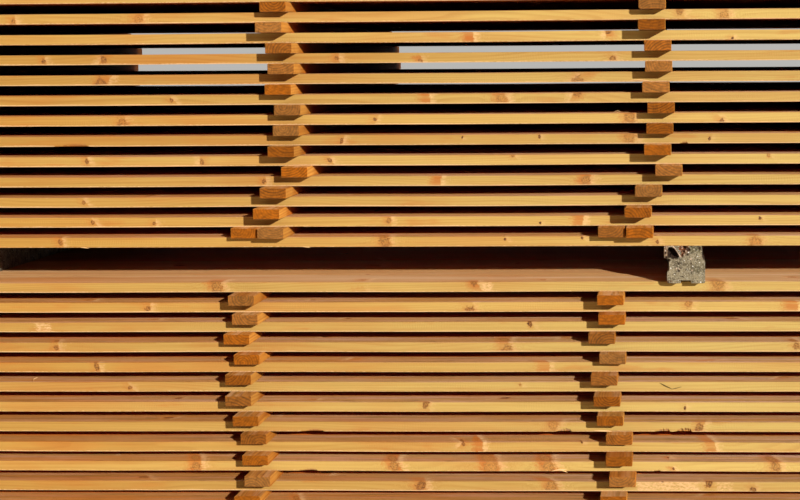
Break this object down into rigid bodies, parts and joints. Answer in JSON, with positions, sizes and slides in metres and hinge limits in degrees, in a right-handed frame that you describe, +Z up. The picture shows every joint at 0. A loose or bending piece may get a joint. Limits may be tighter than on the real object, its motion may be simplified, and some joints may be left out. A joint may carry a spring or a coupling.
{
  "type": "stack of lumber",
  "caption": "Rough-sawn square-edged softwood boards stacked in layers with cross sticks between them to dry, in packs set on moulded grooved bearers.",
  "frame": {"origin": "on the ground, under the middle of the whole stack", "axes": "+X along the boards, to the right as seen from the front; +Y from the front long side to the back; +Z up"},
  "size_m": [4.024, 2.257, 2.09],
  "materials": {
    "boards": "rough-sawn softwood, golden edges and pinkish brown weathered faces",
    "sticks": "sawn softwood, older and darker than the boards, end grain showing",
    "bearers": "rough grey moulded waste plastic with pale specks and pores"
  },
  "bodies": {
    "root": {"ground_bearer_1": "bearers", "ground_bearer_2": "bearers", "ground_bearer_3": "bearers", "lower_boards_01": "boards", "lower_boards_02": "boards", "lower_boards_03": "boards", "lower_boards_04": "boards", "lower_boards_05": "boards", "lower_boards_06": "boards", "lower_boards_07": "boards", "lower_boards_08": "boards", "lower_boards_09": "boards", "lower_boards_10": "boards", "lower_boards_11": "boards", "lower_boards_12": "boards", "lower_boards_13": "boards", "lower_boards_14": "boards", "lower_boards_15": "boards", "lower_boards_16": "boards", "lower_boards_17": "boards", "lower_boards_18": "boards", "lower_boards_19": "boards", "lower_boards_20": "boards", "lower_sticks_row_1": "sticks", "lower_sticks_row_2": "sticks", "lower_sticks_row_3": "sticks", "lower_sticks_row_4": "sticks", "lower_sticks_row_5": "sticks", "middle_bearer_1": "bearers", "middle_bearer_2": "bearers", "middle_bearer_3": "bearers", "upper_boards_01": "boards", "upper_boards_02": "boards", "upper_boards_03": "boards", "upper_boards_04": "boards", "upper_boards_05": "boards", "upper_boards_06": "boards", "upper_boards_07": "boards", "upper_boards_08": "boards", "upper_boards_09": "boards", "upper_boards_10": "boards", "upper_boards_11": "boards", "upper_boards_12": "boards", "upper_boards_13": "boards", "upper_boards_14": "boards", "upper_boards_15": "boards", "upper_boards_16": "boards", "upper_boards_17": "boards", "upper_boards_18": "boards", "upper_boards_19": "boards", "upper_boards_20": "boards", "upper_sticks_row_1": "sticks", "upper_sticks_row_2": "sticks", "upper_sticks_row_3": "sticks", "upper_sticks_row_4": "sticks", "upper_sticks_row_5": "sticks"}
  },
  "joints": []
}
